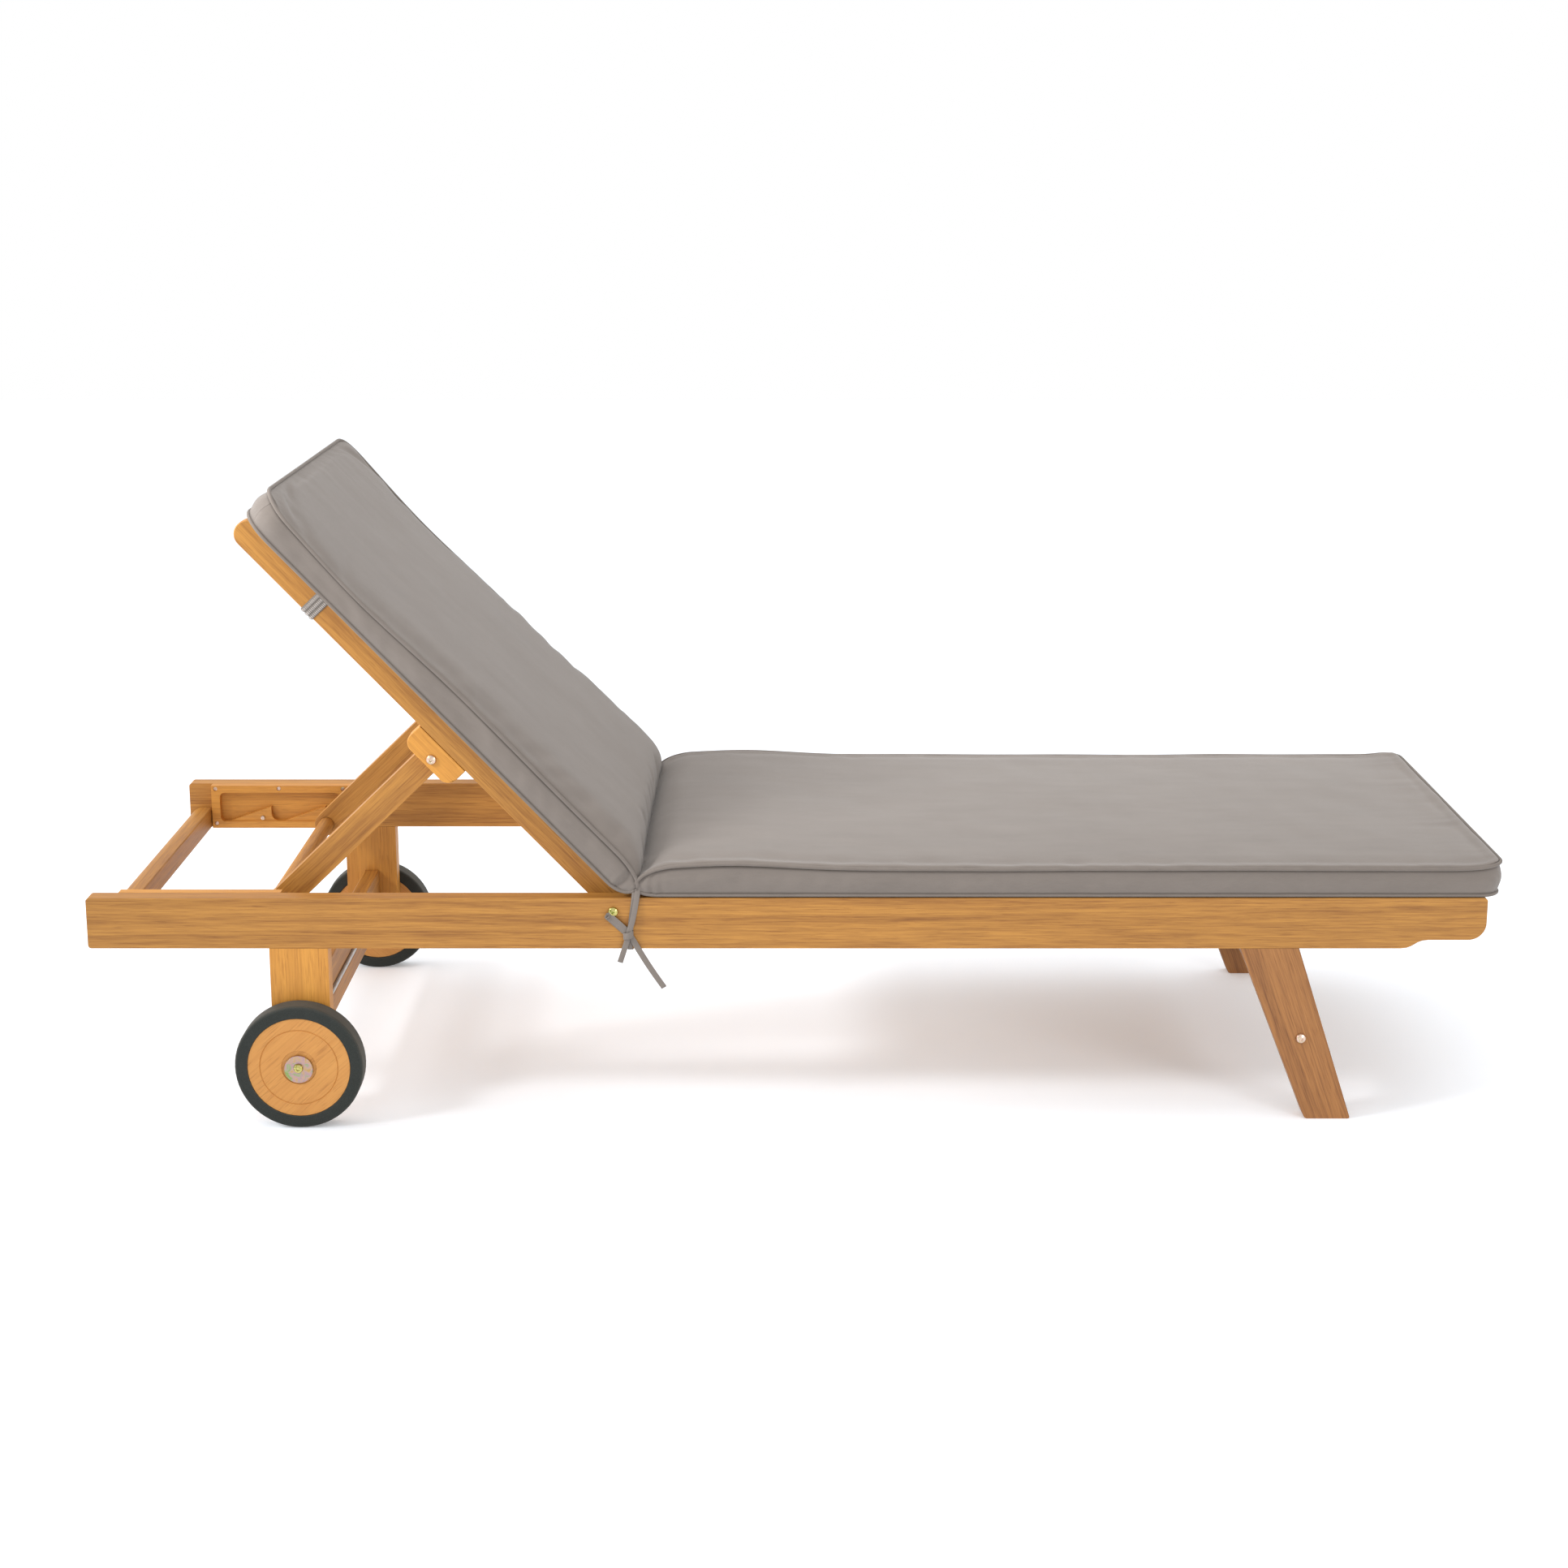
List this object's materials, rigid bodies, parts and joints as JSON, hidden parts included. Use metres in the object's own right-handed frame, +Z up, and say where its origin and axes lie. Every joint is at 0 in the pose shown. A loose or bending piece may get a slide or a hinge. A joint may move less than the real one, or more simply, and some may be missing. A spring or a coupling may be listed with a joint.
{
  "type": "reclining sun lounger",
  "caption": "Wooden garden sun lounger on wheels, with a reclining slatted back held by a notched prop, and a piped two-part cushion.",
  "frame": {"origin": "on the floor under the middle of the lounger's overall box", "axes": "+X along the lounger towards the foot end, +Y towards its left side, +Z up"},
  "size_m": [2.022, 0.7162, 0.9121],
  "materials": {
    "wood": "oiled warm orange-brown hardwood with straight grain",
    "dark_wood": "oiled darker brown hardwood with straight grain",
    "cushion_fabric": "matt plain-weave taupe grey polyester",
    "piping_fabric": "matt darker taupe piping and ties",
    "elastic": "ruched light grey elastic webbing",
    "rubber": "matt charcoal solid rubber",
    "zinc": "yellow passivated zinc plate, slightly iridescent",
    "steel": "plain zinc-plated steel"
  },
  "bodies": {
    "frame": {"side_rail_right": "wood", "side_rail_left": "wood", "wheel_post_right": "wood", "wheel_post_left": "wood", "foot_leg_right": "dark_wood", "foot_leg_left": "dark_wood", "track_plate_right": "wood", "track_plate_left": "wood", "head_rail": "wood", "hinge_rail": "wood", "foot_rail": "wood", "axle_board": "wood", "axle_beam": "wood", "leg_stretcher": "dark_wood", "seat_slat_01": "wood", "seat_slat_02": "wood", "seat_slat_03": "wood", "seat_slat_04": "wood", "seat_slat_05": "wood", "seat_slat_06": "wood", "seat_slat_07": "wood", "seat_slat_08": "wood", "seat_slat_09": "wood", "seat_slat_10": "wood", "seat_slat_11": "wood", "seat_slat_12": "wood", "hinge_bolt_right": "zinc", "hinge_bolt_left": "zinc", "hinge_spacer_right": "steel", "hinge_spacer_left": "steel", "stretcher_bolt_right": "zinc", "stretcher_bolt_left": "zinc", "seat_cushion": "cushion_fabric", "axle_rod": "steel", "tie_rod": "steel", "hub_washer_right": "zinc", "hub_washer_left": "zinc", "hub_screw_right": "zinc", "hub_screw_left": "zinc"},
    "back": {"stile_right": "wood", "stile_left": "wood", "prop_block_right": "wood", "prop_block_left": "wood", "prop_bolt_right": "zinc", "prop_bolt_left": "zinc", "back_slat_01": "wood", "back_slat_02": "wood", "back_slat_03": "wood", "back_slat_04": "wood", "back_slat_05": "wood", "back_slat_06": "wood", "back_slat_07": "wood", "back_cushion": "cushion_fabric"},
    "prop": {"prop_arm_right": "wood", "prop_arm_left": "wood", "prop_dowel": "wood"},
    "wheel_right": {"wheel_disc_right": "wood", "tyre_right": "rubber"},
    "wheel_left": {"wheel_disc_left": "wood", "tyre_left": "rubber"}
  },
  "joints": [
    {"name": "back_recline", "type": "hinge", "parent": "frame", "child": "back", "pos_m": [-0.2586, 0, 0.3152], "axis": [0, 1, 0], "range_deg": [-46.7, 0]},
    {"name": "prop_swing", "type": "hinge", "parent": "back", "child": "prop", "pos_m": [-0.51807, 0, 0.52784], "axis": [0, 1, 0], "range_deg": [0, 92.9]},
    {"name": "wheel_right_spin", "type": "hinge", "parent": "frame", "child": "wheel_right", "pos_m": [-0.71, -0.336, 0.092], "axis": [0, 1, 0], "continuous": true},
    {"name": "wheel_left_spin", "type": "hinge", "parent": "frame", "child": "wheel_left", "pos_m": [-0.71, 0.336, 0.092], "axis": [0, 1, 0], "continuous": true}
  ],
  "couplings": [
    {"joint": "prop_swing", "follows": "back_recline", "ratio": -1.9865}
  ]
}
